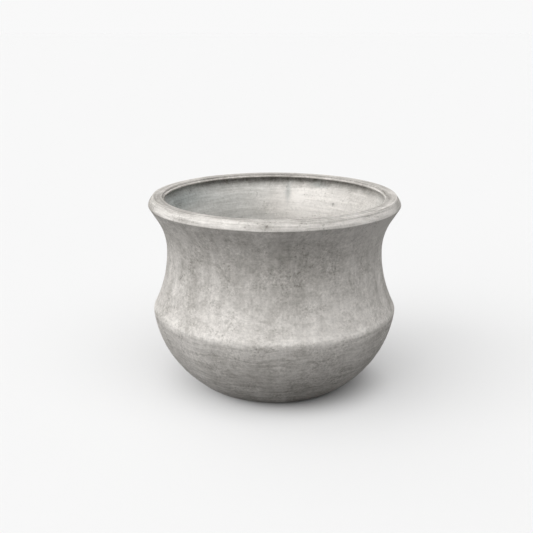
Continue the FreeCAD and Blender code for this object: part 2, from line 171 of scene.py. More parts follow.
class Stroke:
    """One line or arc of a section, from the end of the stroke before it."""

    def __init__(self, name, end, centre=None, turn=1):
        self.name = name
        self.end = end
        self.centre = centre
        self.turn = turn

    def sweep_angle(self, start):
        first = math.atan2(start.y - self.centre.y, start.x - self.centre.x)
        last = math.atan2(self.end.y - self.centre.y, self.end.x - self.centre.x)
        return self.turn * ((self.turn * (last - first)) % (2 * math.pi))

    def steps(self, start, row):
        """How many mesh rows the stroke gets."""
        if self.centre is None:
            run = (self.end - start).length
        else:
            run = abs(self.sweep_angle(start)) * (self.end - self.centre).length
        least = 1 if self.centre is None else ARC_ROWS
        return max(least, round(run / ROWS.get(self.name, row)))

    def points(self, start, row):
        """The places of its rows, without the start."""
        count = self.steps(start, row)
        if self.centre is None:
            return [start.lerp(self.end, i / count) for i in range(1, count + 1)]
        angle = self.sweep_angle(start) / count
        arm = start - self.centre
        return [self.centre + turned(arm, angle * i) for i in range(1, count + 1)]


def turned(arm, angle):
    """An arm in the section, turned anticlockwise."""
    return Vector((arm.x * math.cos(angle) - arm.y * math.sin(angle),
                   arm.x * math.sin(angle) + arm.y * math.cos(angle)))


def crossing(first, first_radius, second, second_radius, outer=True):
    """Where two circles of a section cross, on the outer or the inner side."""
    pair = intersect_sphere_sphere_2d(first, first_radius, second, second_radius)
    if pair[0] is None:
        raise RuntimeError("two curves of the section don't meet")
    return (max if outer else min)(pair, key=lambda place: place.x)


def across(centre, radius, height, side=1):
    """The point of a circle at a height, on its outer side or, with side -1, its inner one."""
    return Vector((centre.x + side * math.sqrt(radius ** 2 - (height - centre.y) ** 2), height))


def towards(centre, place, radius):
    """The point at a distance from a centre, towards a place."""
    return centre + (place - centre).normalized() * radius


def casting_section(s):
    """Start and strokes of the casting: out under the base, up, over the rim and down inside."""
    waist = Vector((s.rim_radius - s.neck_depth, s.height - s.waist_drop))
    shoulder = Vector((s.rim_radius - s.shoulder_inset, s.shoulder_height))
    base = Vector((s.base_radius, s.underside))
    bowl = crossing(base, s.bowl_radius, shoulder, s.bowl_radius, outer=False)
    inset, drop = shoulder.x - waist.x, waist.y - shoulder.y
    lower_radius = (inset ** 2 + drop ** 2) / (2 * inset)
    lower = Vector((waist.x + lower_radius, waist.y))
    upper = Vector((waist.x + s.neck_radius, waist.y))
    rim_edge = Vector((s.rim_radius, s.height - s.rim_band))
    reach = math.sqrt((rim_edge - upper).length_squared - s.neck_radius ** 2)
    flare = crossing(upper, s.neck_radius, rim_edge, reach, outer=False)

    base_round = across(bowl, s.bowl_radius - s.base_round, s.underside + s.base_round)
    ridge = crossing(bowl, s.bowl_radius - s.shoulder_round, lower, lower_radius + s.shoulder_round)
    slope = (rim_edge - flare).normalized()
    edge_cut = s.rim_edge_round * math.tan(math.acos(slope.y) / 2)
    edge = rim_edge + Vector((-s.rim_edge_round, edge_cut))
    face_foot = Vector((s.rim_radius, edge.y))
    face_top = Vector((s.rim_radius - s.ring_inset, s.height - s.face_step))
    face = crossing(face_foot, s.face_radius, face_top, s.face_radius, outer=False)

    bead_radius = s.bead_width / 2
    ring_inside = s.rim_radius - s.lip_width + s.bead_width
    bead = Vector((ring_inside - bead_radius, s.height - s.bead_drop - bead_radius))
    lip_height = bead.y - bead_radius
    neck_inside = s.neck_radius + s.wall
    undercut = across(upper, neck_inside + s.undercut_round, lip_height - s.undercut_round, -1)
    hollow = crossing(bowl, s.bowl_radius - s.wall - s.inner_round,
                      lower, lower_radius + s.wall + s.inner_round)
    floor = s.underside + s.floor_thickness
    floor_round = across(bowl, s.bowl_radius - s.wall - s.floor_round, floor + s.floor_round)
    seat = floor - s.seat_depth
    start = Vector((s.hole_radius + s.drip_flare, s.underside))

    strokes = [
        Stroke("underside", Vector((base_round.x, s.underside))),
        Stroke("base_edge", towards(bowl, base_round, s.bowl_radius), base_round),
        Stroke("bowl", towards(bowl, ridge, s.bowl_radius), bowl),
        Stroke("ridge", towards(lower, ridge, lower_radius), ridge),
        Stroke("lower_neck", waist, lower, -1),
        Stroke("upper_neck", flare, upper, -1),
        Stroke("flare", rim_edge - slope * edge_cut),
        Stroke("rim_edge", face_foot, edge),
        Stroke("face", face_top, face),
        Stroke("step", Vector((face_top.x, s.height))),
        Stroke("ring", Vector((ring_inside, s.height))),
        Stroke("bead_step", Vector((ring_inside, s.height - s.bead_drop))),
        Stroke("bead_top", Vector((bead.x, s.height - s.bead_drop))),
        Stroke("bead", Vector((bead.x, lip_height)), bead),
        Stroke("lip", Vector((undercut.x, lip_height))),
        Stroke("undercut", towards(upper, undercut, neck_inside), undercut, -1),
        Stroke("inner_upper_neck", Vector((waist.x - s.wall, waist.y)), upper),
        Stroke("inner_lower_neck", towards(lower, hollow, lower_radius + s.wall), lower),
        Stroke("inner_shoulder", towards(bowl, hollow, s.bowl_radius - s.wall), hollow, -1),
        Stroke("inner_bowl", towards(bowl, floor_round, s.bowl_radius - s.wall), bowl, -1),
        Stroke("floor_edge", Vector((floor_round.x, floor)), floor_round, -1),
        Stroke("floor", Vector((s.seat_radius, floor))),
        Stroke("seat_edge", Vector((s.seat_radius, seat))),
        Stroke("seat", Vector((s.hole_radius, seat))),
        Stroke("hole", Vector((s.hole_radius, s.underside + s.drip_flare))),
        Stroke("drip_flare", start.copy()),
    ]
    return start, strokes


def select_where(mesh_object, test):
    """Select the vertices whose place passes a test; the object is in edit mode."""
    bpy.ops.mesh.select_all(action="DESELECT")
    bpy.ops.object.mode_set(mode="OBJECT")
    for vertex in mesh_object.data.vertices:
        vertex.select = test(vertex.co)
    bpy.ops.object.mode_set(mode="EDIT")


def draw_section(name, start, strokes, row):
    """Draw the strokes as edges in the XZ plane and leave the object in edit mode."""
    bpy.ops.object.select_all(action="DESELECT")
    # A small plane, merged to one point, begins the line
    bpy.ops.mesh.primitive_plane_add(size=0.001)
    piece = bpy.context.object
    piece.name = name
    piece.data.name = name
    bpy.ops.object.mode_set(mode="EDIT")
    bpy.ops.mesh.select_mode(type="VERT")
    bpy.ops.mesh.merge(type="CENTER")
    bpy.ops.transform.translate(value=(start.x, 0, start.y))
    here = start
    for stroke in strokes:
        count = stroke.steps(here, row)
        if stroke.centre is None:
            pace = (stroke.end - here) / count
            for _ in range(count):
                bpy.ops.mesh.extrude_region_move(
                    TRANSFORM_OT_translate={"value": (pace.x, 0, pace.y)})
        else:
            bpy.ops.mesh.spin(steps=count, angle=stroke.sweep_angle(here), axis=(0, 1, 0),
                              center=(stroke.centre.x, 0, stroke.centre.y))
        here = stroke.end
    bpy.ops.mesh.select_all(action="SELECT")
    bpy.ops.mesh.remove_doubles(threshold=WELD)
    return piece


def node(tree, kind, links=None, **settings):
    """Add a node: its settings, then its inputs, each a value or another node's output."""
    added = tree.nodes.new(kind)
    for key, value in settings.items():
        setattr(added, key, value)
    for key, value in (links or {}).items():
        if isinstance(value, bpy.types.NodeSocket):
            tree.links.new(value, added.inputs[key])
        else:
            added.inputs[key].default_value = value
    return added


def opaque(tint):
    """A colour with full alpha; another node's output stays as it is."""
    return tint if isinstance(tint, bpy.types.NodeSocket) else (*tint, 1.0)


def maths(tree, operation, *values, **settings):
    """Add a Math node and give its output."""
    links = dict(enumerate(values))
    return node(tree, "ShaderNodeMath", links, operation=operation, **settings).outputs[0]


def vectors(tree, operation, *values):
    """Add a Vector Math node and give its vector."""
    links = dict(enumerate(values))
    return node(tree, "ShaderNodeVectorMath", links, operation=operation).outputs[0]


def remap(tree, value, low, high, to_low=0.0, to_high=1.0, **settings):
    """Add a Map Range node, from one range to another, and give its output."""
    links = {0: value, 1: low, 2: high, 3: to_low, 4: to_high}
    return node(tree, "ShaderNodeMapRange", links, **settings).outputs[0]


def mixed(tree, share, first, second, **settings):
    """Add a mix of two colours, each a value or an output, and give its output."""
    links = {0: share, 6: opaque(first), 7: opaque(second)}
    return node(tree, "ShaderNodeMix", links, data_type="RGBA", **settings).outputs[2]


def noise(tree, place, size, detail, roughness=0.5, distortion=0.0, output=0):
    """Add noise with marks of a size in metres, or of one size along each axis."""
    if isinstance(size, tuple):
        place = vectors(tree, "MULTIPLY", place, tuple(1 / metres for metres in size))
        size = 1.0
    links = {"Vector": place, "Scale": 1 / size, "Detail": detail, "Roughness": roughness,
             "Distortion": distortion}
    return node(tree, "ShaderNodeTexNoise", links).outputs[output]


def bumped(tree, height, strength, depth):
    """Add a bump of a depth in metres and give its normal."""
    links = {"Strength": strength, "Distance": depth, "Height": height}
    return node(tree, "ShaderNodeBump", links).outputs[0]


def surface(tree, links):
    """Add a Principled shader and send it to the material's output."""
    shader = node(tree, "ShaderNodeBsdfPrincipled", links)
    node(tree, "ShaderNodeOutputMaterial", {0: shader.outputs[0]})


def seen_directly(tree):
    """1 for what the camera sees, straight, mirrored or through glass; 0 for light on its way."""
    rays = node(tree, "ShaderNodeLightPath").outputs
    seen = maths(tree, "MAXIMUM", rays["Is Camera Ray"], rays["Is Glossy Ray"])
    return maths(tree, "MAXIMUM", seen, rays["Is Transmission Ray"])


def bare_material(name):
    """A new material, its empty node tree and the shaded place on the object."""
    material = bpy.data.materials.new(name)
    material.use_nodes = True
    tree = material.node_tree
    tree.nodes.clear()
    return material, tree, node(tree, "ShaderNodeTexCoord").outputs["Object"]


def cast_concrete(colours):
    """Concrete cast in a mould, brushed while green and weathered outdoors.

    To the eye it is chalky and never glossy: pale where it is dry or worn, deeper in soft
    clouds where it stays wet, peppered with pinholes, with brush marks round the bowl, the
    rim and the inside, and rain runs down the neck. Its colour also carries painted shade along
    the steps of the rim, under the lip, under the rim, below the ridge, in the pock and on the
    sides turned from the lamps, and painted highlights on the ridge, the rim's face, under the
    rim and on the lit walls.
    """
    material, tree, place = bare_material("cast_concrete_brushed")
    at = {name: node(tree, "ShaderNodeAttribute", attribute_name=name).outputs["Fac"]
          for name in ("run", "wear_and_highlight", "dirt_and_shade", "weather_and_light", "damp_and_shade", "drips", "brushed", "combed",
                       "inside")}

    # Metres round the pot and along its section, so that marks follow the wall, swaying by up to
    # 8 mm round it and 26 mm along it
    wall_radius = 0.23
    level = vectors(tree, "MULTIPLY", place, (1, 1, 0))
    facing = vectors(tree, "NORMALIZE", level)
    upright = node(tree, "ShaderNodeCombineXYZ", {2: at["run"]}).outputs[0]
    wrapped = vectors(tree, "MULTIPLY_ADD", facing, (wall_radius,) * 3, upright)
    sway = noise(tree, place, 0.070, 1.0, output="Color")
    # Inside, the brush went round more evenly
    steadied = maths(tree, "MULTIPLY", at["inside"], 0.8)
    steady = mixed(tree, steadied, sway, (0.5, 0.5, 0.5))
    swayed = vectors(tree, "MULTIPLY_ADD", steady, (0.008, 0.008, 0.026), wrapped)

    # Mottling from 90 mm down to the sand's 2 mm, each size about as strong as the next
    mottle = noise(tree, place, 0.090, 5.5, roughness=0.92, distortion=0.25)
    blotches = noise(tree, place, 0.013, 1.0)
    sand = noise(tree, place, 0.0050, 2.0, roughness=0.8)
    # Rain runs 18 mm wide and 160 mm long; brush marks 6 mm wide and 100 mm long
    runs = noise(tree, swayed, (0.018, 0.018, 0.160), 3.0, roughness=0.7)
    brush = noise(tree, swayed, (0.100, 0.100, 0.006), 4.0, roughness=0.75, distortion=0.2)
    # Lines 4 mm apart and 90 mm long where the rim was drawn round with a shaped board
    comb = noise(tree, wrapped, (0.090, 0.090, 0.004), 2.0)
    # Pinholes of 1 mm, drawn at 2 mm to show, crowded into patches 40 mm across
    cells = node(tree, "ShaderNodeTexVoronoi", {"Vector": place, "Scale": 1 / 0.0075}).outputs[0]
    dots = remap(tree, cells, 0.30, 0.14)
    crowds = noise(tree, place, 0.040, 2.0)
    pinholes = maths(tree, "MULTIPLY", dots, remap(tree, crowds, 0.48, 0.62))

    # Board and brush smoothed the rim and the inside, so the grain is weaker there
    smoothed = maths(tree, "MULTIPLY_ADD", at["combed"], -0.5, 1.0)
    grain = maths(tree, "MULTIPLY_ADD", at["inside"], -0.5, smoothed)
    grit = maths(tree, "MULTIPLY", remap(tree, crowds, 0.35, 0.65, 0.55, 1.45), grain)
    # Wear and painted highlight show in broken patches, strongest where the mottling is pale
    wear_and_highlight_patches = maths(tree, "MULTIPLY", at["wear_and_highlight"], remap(tree, mottle, 0.38, 0.62, 0.45, 1.15))

    # Every mark pulls the tone up or down from its middle, by an amount, where its mask lets it
    tone = 0.605
    for mark, middle, amount, mask in (
            (mottle, 0.5, 1.25, grain), (sand, 0.5, 0.80, grit), (blotches, 0.5, 0.30, grain),
            (runs, 0.5, 0.50, at["drips"]), (brush, 0.5, 1.10, at["brushed"]),
            (comb, 0.5, 1.05, at["combed"]), (pinholes, 0.0, -0.22, None),
            (at["weather_and_light"], 0.0, 0.72, None), (wear_and_highlight_patches, 0.0, 0.21, None)):
        centred = maths(tree, "SUBTRACT", mark, middle)
        share = amount if mask is None else maths(tree, "MULTIPLY", mask, amount)
        tone = maths(tree, "MULTIPLY_ADD", centred, share, tone)
    skin = mixed(tree, tone, colours.concrete_deep, colours.concrete_pale)
    # Inside, the cement skin turns cool a little all over, and more where shade is painted on the
    # wall
    cooled = mixed(tree, at["damp_and_shade"], skin, colours.concrete_cool, blend_type="MULTIPLY")
    # Dirt and painted shade hold best where the mottling is deep
    broken = remap(tree, mottle, 0.40, 0.60, 1.2, 0.5)
    dirt_and_shade_share = maths(tree, "MULTIPLY", at["dirt_and_shade"], broken, use_clamp=True)
    soiled = mixed(tree, dirt_and_shade_share, cooled, colours.grime_and_shade)

    # Grain, brush marks and pinholes are cut about half a millimetre into the wall
    relief = maths(tree, "MULTIPLY", brush, at["brushed"])
    for mark, amount in ((comb, at["combed"]), (sand, 0.7), (pinholes, -0.8)):
        relief = maths(tree, "MULTIPLY_ADD", mark, amount, relief)
    rough = remap(tree, mottle, 0.3, 0.7, 0.95, 0.8)
    surface(tree, {"Base Color": soiled, "Roughness": rough, "IOR": 1.5,
                   "Specular IOR Level": 0.25, "Normal": bumped(tree, relief, 0.7, 0.0008)})
    return material


def moulded_polypropylene(colours):
    """Polypropylene from an injection mould: dull, waxy, with a fine spark-eroded grain."""
    material, tree, place = bare_material("polypropylene_moulded")
    # Grain of 0.3 mm drawn at 0.8 mm so that it shows
    grain = noise(tree, place, 0.0008, 2.0)
    haze = noise(tree, place, 0.020, 3.0)
    dusty = mixed(tree, haze, colours.sleeve, colours.sleeve_dust)
    rough = remap(tree, haze, 0.0, 1.0, 0.42, 0.6)
    surface(tree, {"Base Color": dusty, "Roughness": rough, "IOR": 1.49,
                   "Normal": bumped(tree, grain, 0.3, 0.0001)})
    return material


def punched_stainless(colours):
    """Stainless sheet, brushed before punching: grey, with fine straight scratches."""
    material, tree, place = bare_material("stainless_sheet_brushed")
    # Scratches 0.1 mm wide, drawn at 0.4 mm and 12 mm long so that they show
    scratches = noise(tree, place, (0.012, 0.0004, 0.0004), 3.0)
    rough = remap(tree, scratches, 0.0, 1.0, 0.25, 0.45)
    tint = mixed(tree, scratches, colours.steel_scratch, colours.steel)
    surface(tree, {"Base Color": tint, "Metallic": 1.0, "Roughness": rough,
                   "Normal": bumped(tree, scratches, 0.2, 0.00005)})
    return material


def rubber(name, base, bloom, grain_size):
    """Black rubber: matt, a little grey where it has bloomed, with a fine grain."""
    material, tree, place = bare_material(name)
    patches = noise(tree, place, 0.012, 4.0, roughness=0.6)
    grain = noise(tree, place, grain_size, 2.0)
    tint = mixed(tree, remap(tree, patches, 0.4, 0.75), base, bloom)
    rough = remap(tree, patches, 0.0, 1.0, 0.6, 0.85)
    surface(tree, {"Base Color": tint, "Roughness": rough, "IOR": 1.52,
                   "Normal": bumped(tree, grain, 0.35, 0.00015)})
    return material


def finish_node(name, material):
    """Give a carried-over piece its finish."""
    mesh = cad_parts[name].data
    mesh.materials.clear()
    mesh.materials.append(material)


def near(values, middle, reach):
    """1 at a place, falling softly to nothing about two reaches away."""
    return np.exp(-((values - middle) / reach) ** 2)


def between(values, low, high, soft):
    """1 between two places along the section, with soft ends."""
    rise = np.clip((values - low) / soft + 0.5, 0, 1)
    fall = np.clip((high - values) / soft + 0.5, 0, 1)
    return rise * rise * (3 - 2 * rise) * fall * fall * (3 - 2 * fall)


# Where the wall is paler or deeper, from weathering and from painted light and shade: which wall,
# degrees round from the front, height, degrees and height from the middle to the soft edge, and how
# far it pulls the tone
WEATHER_AND_LIGHT = (
    # Painted light on the neck under the rim, on the right and on the left
    ("painted_light_under_rim_right", "outside", 50, 0.350, 24, 0.030, 0.60),
    ("painted_light_under_rim_left", "outside", -57, 0.356, 12, 0.020, 0.25),
    ("damp_front", "outside", 8, 0.272, 9, 0.042, -0.36),
    ("damp_under_rim", "outside", -8, 0.312, 42, 0.034, -0.22),
    ("damp_left", "outside", -41, 0.294, 12, 0.024, -0.24),
    ("damp_right", "outside", 27, 0.264, 7, 0.020, -0.18),
    ("damp_middle", "outside", -6, 0.264, 4, 0.012, -0.18),
    ("damp_front_low", "outside", 10, 0.231, 4.5, 0.014, -0.30),
    ("damp_left_low", "outside", -40, 0.230, 6, 0.018, -0.17),
    ("dry_shoulder", "outside", -17, 0.196, 15, 0.024, 0.28),
    # Painted rim light at the right edge of the neck
    ("painted_light_right", "outside", 66, 0.208, 10, 0.040, 0.22),
    ("dry_shoulder_right", "outside", 27, 0.195, 10, 0.022, 0.18),
    ("splash_left", "outside", -15, 0.092, 13, 0.036, -0.24),
    ("splash_front", "outside", 12, 0.078, 7, 0.030, -0.22),
    # Painted shade just below the ridge at the front
    ("painted_shade_below_ridge_front", "outside", 5, 0.145, 12, 0.010, -0.12),
    ("splash_base", "outside", 22, 0.040, 30, 0.034, -0.34),
    ("dry_bowl_right", "outside", 40, 0.122, 6, 0.014, 0.18),
    ("rubbed_left", "outside", -38, 0.146, 9, 0.010, 0.34),
    ("rubbed_right", "outside", 32, 0.146, 9, 0.010, 0.18),
    ("dry_rim", "outside", 16, 0.376, 8, 0.010, 0.16),
    ("scuff_rim", "outside", -4, 0.376, 2.5, 0.006, -0.32),
    ("rim_left", "outside", -78, 0.377, 14, 0.012, -0.34),
    ("rim_right", "outside", 72, 0.377, 10, 0.012, -0.26),
    # Painted shade on the lamp-lit left edge of the neck
    ("painted_shade_left_edge", "outside", -74, 0.270, 8, 0.080, -0.20),
    # Painted light under the rim at the right edge
    ("painted_light_under_rim_right_edge", "outside", 63, 0.350, 8, 0.022, 0.36),
    # Painted rim light at the right edge of the neck
    ("painted_light_right_edge", "outside", 73, 0.285, 6, 0.030, 0.24),
    # Painted shade just below the ridge on the left
    ("painted_shade_below_ridge_left", "outside", -50, 0.143, 6, 0.008, -0.26),
    ("streak_left", "outside", -58.5, 0.262, 2.2, 0.045, 0.22),
    ("run_left", "outside", -53.2, 0.274, 2.4, 0.016, -0.20),
    ("run_left_low", "outside", -65, 0.212, 2.4, 0.030, -0.20),
    ("streak_right", "outside", 68.3, 0.240, 2.4, 0.045, 0.22),
    ("run_right", "outside", 54.2, 0.230, 2.0, 0.018, -0.18),
    ("run_right_high", "outside", 55, 0.265, 6, 0.016, -0.17),
    ("run_right_mid", "outside", 61.6, 0.226, 2.0, 0.018, -0.18),
    ("run_right_edge", "outside", 73.8, 0.200, 2.4, 0.026, -0.24),
    ("damp_back", "outside", 172, 0.286, 13, 0.046, -0.30),
    ("lime_back", "outside", -140, 0.338, 18, 0.028, 0.34),
    ("damp_side", "outside", 112, 0.296, 11, 0.036, -0.24),
    ("dry_back", "outside", 150, 0.204, 20, 0.026, 0.24),
    ("splash_back", "outside", -166, 0.060, 28, 0.034, -0.26),
    # Painted light on the inside wall at the right back, where the lamps from the left fall
    ("painted_light_inside_right_back", "inside", 160, 0.322, 28, 0.048, 0.44),
    # Painted shade on the inside wall at the left, under the lip and turned from the lamps
    ("painted_shade_inside_left", "inside", -112, 0.356, 24, 0.020, -0.42),
    ("stain_inside", "inside", 171, 0.346, 1.6, 0.022, -0.40),
    ("lime_inside", "inside", 164, 0.346, 5, 0.014, 0.24),
    ("rust_inside", "inside", 152, 0.367, 5, 0.006, -0.40),
    ("smear_inside", "inside", -153, 0.353, 14, 0.006, 0.08),
)

# Radius and depth of the air holes, small to large, the share of the radius that their sloping
# sides take up, and the seed of the draw for their places
PORE_SIZES = ((0.0008, 0.0006), (0.0011, 0.0008), (0.0015, 0.0012))
PORE_SLOPE = 0.35
PORE_SEED = 7

# A pock knocked out of the wall inside: its place, and its radius and depth
POCK = (0.1285, 0.1532, 0.330)
POCK_SIZE = (0.0024, 0.0020)

# Edges sharper than this many degrees stay sharp to the eye
SHARP_ANGLE = 40


class PLANTER_OT_casting(bpy.types.Operator):
    """Model the concrete casting: draw its section, spin it, leave hand marks and pores"""
    bl_idname = "planter.casting"
    bl_label = "Casting"

    def execute(self, context):
        sizes = context.scene.planter_casting
        start, strokes = casting_section(sizes)
        piece = draw_section("casting", start, strokes, sizes.row)

        # Steps on top of the rim lose their sharp corners before the section is turned
        corners = [Vector((stroke.end.x, 0, stroke.end.y)) for stroke in strokes
                   if stroke.name in ("face", "step", "ring", "bead_step")]
        select_where(piece, lambda co: any((co - corner).length < WELD for corner in corners))
        bpy.ops.mesh.bevel(offset=sizes.arris, segments=2, affect="VERTICES")

        bpy.ops.mesh.select_all(action="SELECT")
        bpy.ops.mesh.spin(steps=sizes.segments, angle=2 * math.pi, center=(0, 0, 0), axis=(0, 0, 1))
        bpy.ops.mesh.select_all(action="SELECT")
        bpy.ops.mesh.remove_doubles(threshold=WELD)
        bpy.ops.mesh.normals_make_consistent(inside=False)
        bpy.ops.object.mode_set(mode="OBJECT")

        self.mark(piece, start, strokes, sizes)
        self.brush(piece, sizes)
        self.open_pores(piece, sizes)
        bpy.ops.object.shade_smooth_by_angle(angle=math.radians(SHARP_ANGLE))

        piece.data.materials.clear()
        piece.data.materials.append(cast_concrete(context.scene.planter_colours))
        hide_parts("pot_shell")
        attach(piece, "pot")
        return {"FINISHED"}

    def measure(self, mesh, start, strokes, row):
        """Each vertex's place and distance along the section, and where each stroke ends."""
        places, runs, ends = [start], [0.0], {}
        for stroke in strokes:
            for place in stroke.points(places[-1], row):
                runs.append(runs[-1] + (place - places[-1]).length)
                places.append(place)
            ends[stroke.name] = runs[-1]
        tree = KDTree(len(places))
        for i, place in enumerate(places):
            tree.insert((place.x, place.y, 0), i)
        tree.balance()
        flat = np.empty(len(mesh.vertices) * 3)
        mesh.vertices.foreach_get("co", flat)
        spots = flat.reshape(-1, 3)
        out = np.hypot(spots[:, 0], spots[:, 1])
        run = np.array([runs[tree.find((r, z, 0))[1]] for r, z in zip(out, spots[:, 2])])
        return spots, run, ends

    def mark(self, piece, start, strokes, sizes):
        """Note on each vertex where it lies along the section, what has happened to it there, and
        the light and shade painted on it.
        """
        mesh = piece.data
        spots, run, ends = self.measure(mesh, start, strokes, sizes.row)
        around = np.degrees(np.arctan2(spots[:, 0], -spots[:, 1]))
        inside = between(run, ends["lip"], ends["drip_flare"] + 0.1, 0.004)

        # Round the pot, in degrees from the front: the side turned from the lamps on the left,
        # where the rim gets more painted shade and the neck under it less; the front right, where
        # the crest is palest; the right end, where the lamps light the crest; and both sides
        lee = near(around, 50, 35)
        front_right = near(around, 30, 25)
        right_end = near(around, 85, 25)
        sides = near(np.abs(around), 100, 25)
        # Along the section: the crest of the rim, and all that comes before the rim's lower edge
        crest = between(run, ends["face"] - 0.001, ends["step"] + 0.001, 0.0015)
        below_edge = between(run, 0, ends["rim_edge"] - 0.001, 0.002)
        pocked = near(np.linalg.norm(spots - np.array(POCK), axis=1), 0, 0.003)

        # Where the concrete is paler, and how much: worn by hands and the brush, and painted
        # highlight on the ridge and the rim
        wear_and_highlight = {
            # Along the ridge: wear, and a painted highlight that sharpens the ridge's lit edge
            "ridge": 0.80 * near(run, ends["ridge"] + 0.001, 0.008),
            # On the rim's face: painted highlight, strong on the side facing the lamps and none on
            # the side turned from them
            "rim_face": (0.4 - 0.4 * lee)
            * between(run, ends["rim_edge"], ends["face"] - 0.001, 0.003),
            # On the crest: pale wear all round, stronger at the front right and painted down at the
            # right end, where the lamps light it
            "rim_crest": (0.6 + 0.4 * front_right - 0.6 * right_end) * crest,
        }
        # Where the concrete is darker, and how much: the top ring all round, dirt at the foot and
        # under the rim, and painted shade along the steps of the rim, on the side turned from the
        # lamps, under the lip, under the rim and in the pock
        dirt_and_shade = {
            # The top ring is darker all round, more on the side turned from the lamps, where the
            # extra is painted shade
            "top_ring": (0.33 + 0.13 * lee)
            * between(run, ends["step"] + 0.0008, ends["ring"], 0.002),
            # Painted shade along the ring's inner edge, where it steps down to the bead, deeper on
            # the side turned from the lamps
            "ring_inner_edge": (0.08 + 0.18 * lee) * near(run, ends["ring"] - 0.002, 0.004),
            # Painted shade in a line below the crest, on the side turned from the lamps
            "line_below_crest": 0.6 * lee * near(run, ends["face"] - 0.0042, 0.0014),
            # Painted shade that dulls the crest's highlight at the right end
            "crest_right_end": 0.1 * right_end * crest,
            # Painted shade on the rim's face, on the side turned from the lamps
            "rim_face": 0.10 * lee * between(run, ends["rim_edge"], ends["face"] - 0.002, 0.003),
            # Painted shade in the corner at the foot of the bead's step, deeper on the side turned
            # from the lamps
            "bead_corner": (0.4 + 0.4 * lee) * near(run, ends["bead_step"], 0.0015),
            # Painted shade under the lip inside, less at the sides
            "under_lip": (0.70 - 0.42 * sides) * near(run, ends["lip"] + 0.006, 0.013),
            # Painted shade in the pock
            "pock": 0.9 * pocked,
            # Dirt and painted shade under the rim's overhang, less on the side turned from the
            # lamps
            "under_rim": (0.20 - 0.13 * lee) * below_edge
            * between(run, ends["upper_neck"] - 0.01, ends["rim_edge"] + 0.018, 0.04),
            "foot": 0.25 * between(run, ends["underside"] - 0.02, ends["base_edge"] + 0.03, 0.05),
        }
        # How clearly brush marks show
        brushed = {
            "all_over": 0.35,
            "bowl": 0.65 * between(run, ends["base_edge"], ends["ridge"] - 0.004, 0.02),
            "inside": 0.4 * inside,
            "rim": 0.5 * between(run, ends["flare"], ends["bead"], 0.004),
        }
        weather_and_light = np.zeros(len(spots))
        for _, wall, round_by, height, width, rise, pull in WEATHER_AND_LIGHT:
            turned_by = (around - round_by + 180) % 360 - 180
            here = inside if wall == "inside" else 1 - inside
            weather_and_light += pull * here * near(turned_by, 0, width) * near(spots[:, 2], height, rise)
        # Cool tint inside: a little everywhere, more in deep stains and where shade is painted,
        # less where light is painted and on the lit right wall
        damp_and_shade = np.clip(0.38 - 1.5 * weather_and_light - 0.35 * near(around, 112, 30), 0, 1)
        # Walls that pores may open in, clear of the ridge, the rim and the lip
        open_wall = (between(run, ends["base_edge"] + 0.02, ends["ridge"] - 0.012, 0.002)
                     + between(run, ends["ridge"] + 0.006, ends["flare"] - 0.008, 0.002)
                     + between(run, ends["undercut"] + 0.008, ends["inner_upper_neck"], 0.002))
        for name, values in (
                ("run", run), ("inside", inside), ("wear_and_highlight", sum(wear_and_highlight.values())),
                ("dirt_and_shade", sum(dirt_and_shade.values())), ("weather_and_light", weather_and_light), ("damp_and_shade", inside * damp_and_shade),
                ("brushed", np.clip(sum(brushed.values()), 0, 1)), ("open_wall", open_wall),
                ("drips", between(run, ends["ridge"] + 0.02, ends["upper_neck"], 0.06)),
                ("combed", between(run, ends["flare"], ends["bead_top"], 0.003))):
            layer = mesh.attributes.new(name, "FLOAT", "POINT")
            layer.data.foreach_set("value", values.astype(np.float32))

        # The outer wall, the rim and the wall inside were brushed by hand; the rest is as cast
        free = between(run, ends["base_edge"] + 0.02, ends["inner_upper_neck"], 0.02)
        group = piece.vertex_groups.new(name="brushed_by_hand")
        shares = np.round(free, 2)
        for share in np.unique(shares):
            if share > 0:
                group.add(np.flatnonzero(shares == share).tolist(), float(share), "REPLACE")

    def brush(self, piece, sizes):
        """Leave the waves of a hand brush in the wall, only ever inwards."""
        for name, size, depth in (("sweep", sizes.sweep_length, sizes.sweep),
                                  ("drag", sizes.drag_length, sizes.drag)):
            waves = bpy.data.textures.new(name, "CLOUDS")
            waves.noise_scale = size
            waves.noise_depth = 2
            bpy.ops.object.modifier_add(type="DISPLACE")
            modifier = piece.modifiers[-1]
            modifier.texture = waves
            modifier.texture_coords = "LOCAL"
            modifier.vertex_group = "brushed_by_hand"
            modifier.mid_level = 1.0
            modifier.strength = depth
            bpy.ops.object.modifier_apply(modifier=modifier.name)

